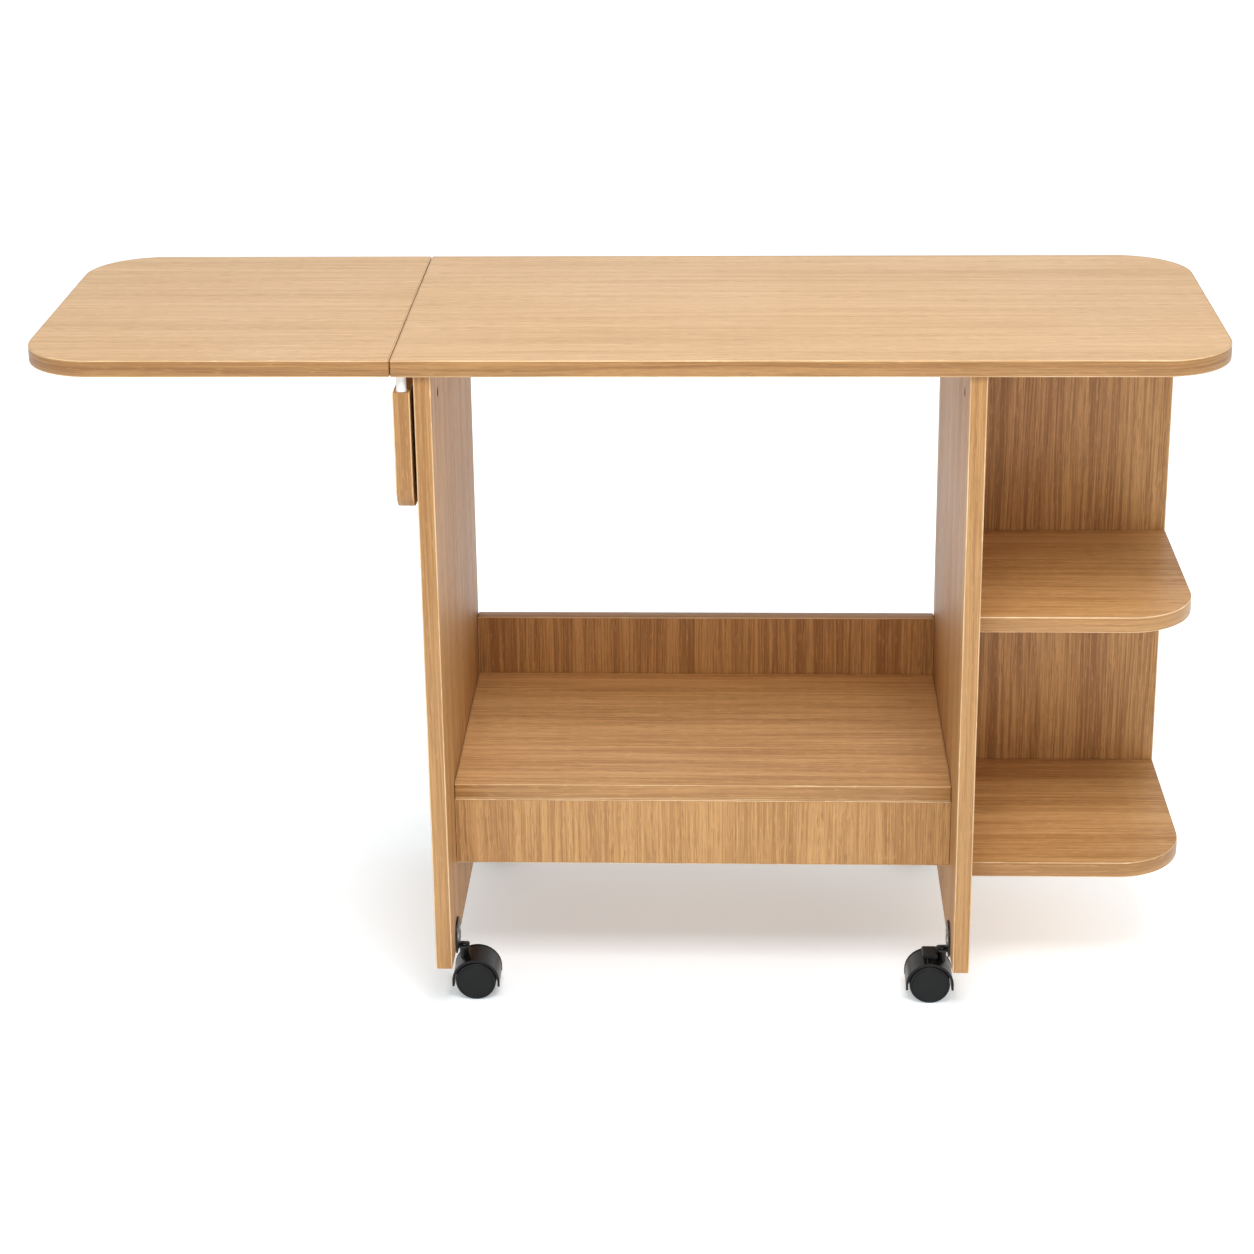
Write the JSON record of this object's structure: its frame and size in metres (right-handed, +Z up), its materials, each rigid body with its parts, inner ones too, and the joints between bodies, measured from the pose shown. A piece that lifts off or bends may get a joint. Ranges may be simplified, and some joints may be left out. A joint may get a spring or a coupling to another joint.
{
  "type": "sewing table",
  "caption": "Wood sewing table on casters: rounded top with a drop leaf on a swing-out arm, a low shelf between side panels and open end shelves.",
  "frame": {"origin": "centre of the bounding box on the floor, below the middle of the open top", "axes": "+X to the open end shelves, along the table's length; -Y to the person sewing; +Z up"},
  "size_m": [1.25, 0.415, 0.76],
  "materials": {
    "oak_top": "satin woodgrain laminate, grain along X",
    "oak_panel": "satin woodgrain laminate, grain along Z",
    "oak_shelf": "satin woodgrain laminate, grain along X",
    "oak_back": "satin woodgrain laminate, grain along Z",
    "hood_plastic": "smooth moulded black",
    "wheel_plastic": "fine-textured black",
    "rocker_plastic": "smooth moulded black",
    "bracket_steel": "black paint",
    "axle_steel": "bright",
    "hinge_steel": "nickel plated",
    "stopper_plastic": "white",
    "cam_zinc": "dark die-cast zinc"
  },
  "bodies": {
    "frame": {"main_top": "oak_top", "left_side_panel": "oak_panel", "right_side_panel": "oak_panel", "left_cam_lock": "cam_zinc", "right_cam_lock": "cam_zinc", "low_shelf": "oak_shelf", "back_rail": "oak_back", "front_apron": "oak_panel", "end_back_panel": "oak_back", "upper_end_shelf": "oak_shelf", "lower_end_shelf": "oak_shelf", "leaf_hinge_front_fixed": "hinge_steel", "leaf_hinge_front_pin": "hinge_steel", "leaf_hinge_back_fixed": "hinge_steel", "leaf_hinge_back_pin": "hinge_steel", "arm_hinge_lower_fixed": "hinge_steel", "arm_hinge_lower_pin": "hinge_steel", "arm_hinge_upper_fixed": "hinge_steel", "arm_hinge_upper_pin": "hinge_steel", "caster_bracket_front_left": "bracket_steel", "caster_stem_front_left": "bracket_steel", "caster_bracket_front_right": "bracket_steel", "caster_stem_front_right": "bracket_steel", "caster_bracket_back_left": "bracket_steel", "caster_stem_back_left": "bracket_steel", "caster_bracket_back_right": "bracket_steel", "caster_stem_back_right": "bracket_steel"},
    "leaf": {"drop_leaf": "oak_top", "leaf_hinge_front_moving": "hinge_steel", "leaf_hinge_back_moving": "hinge_steel"},
    "arm": {"support_arm": "oak_panel", "arm_stopper": "stopper_plastic", "arm_hinge_lower_moving": "hinge_steel", "arm_hinge_upper_moving": "hinge_steel"},
    "swivel_front_left": {"caster_hood_front_left": "hood_plastic", "caster_axle_front_left": "axle_steel"},
    "wheel_front_left_a": {"caster_wheel_front_left_a": "wheel_plastic"},
    "wheel_front_left_b": {"caster_wheel_front_left_b": "wheel_plastic"},
    "swivel_front_right": {"caster_hood_front_right": "hood_plastic", "caster_axle_front_right": "axle_steel"},
    "wheel_front_right_a": {"caster_wheel_front_right_a": "wheel_plastic"},
    "wheel_front_right_b": {"caster_wheel_front_right_b": "wheel_plastic"},
    "brake_front_right": {"brake_rocker_front_right": "rocker_plastic"},
    "swivel_back_left": {"caster_hood_back_left": "hood_plastic", "caster_axle_back_left": "axle_steel"},
    "wheel_back_left_a": {"caster_wheel_back_left_a": "wheel_plastic"},
    "wheel_back_left_b": {"caster_wheel_back_left_b": "wheel_plastic"},
    "brake_back_left": {"brake_rocker_back_left": "rocker_plastic"},
    "swivel_back_right": {"caster_hood_back_right": "hood_plastic", "caster_axle_back_right": "axle_steel"},
    "wheel_back_right_a": {"caster_wheel_back_right_a": "wheel_plastic"},
    "wheel_back_right_b": {"caster_wheel_back_right_b": "wheel_plastic"}
  },
  "joints": [
    {"name": "leaf_fold", "type": "hinge", "parent": "frame", "child": "leaf", "pos_m": [-0.2375, 0, 0.7387], "axis": [0, 1, 0], "range_deg": [-90, 0]},
    {"name": "arm_swing", "type": "hinge", "parent": "frame", "child": "arm", "pos_m": [-0.2178, 0.1233, 0.662], "axis": [0, 0, -1], "range_deg": [0, 90]},
    {"name": "swivel_front_left", "type": "hinge", "parent": "frame", "child": "swivel_front_left", "pos_m": [-0.189, -0.148, 0.0572], "axis": [0, 0, 1], "continuous": true},
    {"name": "roll_front_left_a", "type": "hinge", "parent": "swivel_front_left", "child": "wheel_front_left_a", "pos_m": [-0.1752, -0.148, 0.0225], "axis": [0, 1, 0], "continuous": true},
    {"name": "roll_front_left_b", "type": "hinge", "parent": "swivel_front_left", "child": "wheel_front_left_b", "pos_m": [-0.1752, -0.148, 0.0225], "axis": [0, 1, 0], "continuous": true},
    {"name": "swivel_front_right", "type": "hinge", "parent": "frame", "child": "swivel_front_right", "pos_m": [0.3445, -0.148, 0.0572], "axis": [0, 0, 1], "continuous": true},
    {"name": "roll_front_right_a", "type": "hinge", "parent": "swivel_front_right", "child": "wheel_front_right_a", "pos_m": [0.3307, -0.148, 0.0225], "axis": [0, 1, 0], "continuous": true},
    {"name": "roll_front_right_b", "type": "hinge", "parent": "swivel_front_right", "child": "wheel_front_right_b", "pos_m": [0.3307, -0.148, 0.0225], "axis": [0, 1, 0], "continuous": true},
    {"name": "brake_front_right", "type": "hinge", "parent": "swivel_front_right", "child": "brake_front_right", "pos_m": [0.3307, -0.148, 0.052], "axis": [0, -1, 0], "range_deg": [0, 8]},
    {"name": "swivel_back_left", "type": "hinge", "parent": "frame", "child": "swivel_back_left", "pos_m": [-0.189, 0.1825, 0.0572], "axis": [0, 0, 1], "continuous": true},
    {"name": "roll_back_left_a", "type": "hinge", "parent": "swivel_back_left", "child": "wheel_back_left_a", "pos_m": [-0.1752, 0.1825, 0.0225], "axis": [0, 1, 0], "continuous": true},
    {"name": "roll_back_left_b", "type": "hinge", "parent": "swivel_back_left", "child": "wheel_back_left_b", "pos_m": [-0.1752, 0.1825, 0.0225], "axis": [0, 1, 0], "continuous": true},
    {"name": "brake_back_left", "type": "hinge", "parent": "swivel_back_left", "child": "brake_back_left", "pos_m": [-0.1752, 0.1825, 0.052], "axis": [0, 1, 0], "range_deg": [0, 8]},
    {"name": "swivel_back_right", "type": "hinge", "parent": "frame", "child": "swivel_back_right", "pos_m": [0.3445, 0.1825, 0.0572], "axis": [0, 0, 1], "continuous": true},
    {"name": "roll_back_right_a", "type": "hinge", "parent": "swivel_back_right", "child": "wheel_back_right_a", "pos_m": [0.3307, 0.1825, 0.0225], "axis": [0, 1, 0], "continuous": true},
    {"name": "roll_back_right_b", "type": "hinge", "parent": "swivel_back_right", "child": "wheel_back_right_b", "pos_m": [0.3307, 0.1825, 0.0225], "axis": [0, 1, 0], "continuous": true}
  ]
}
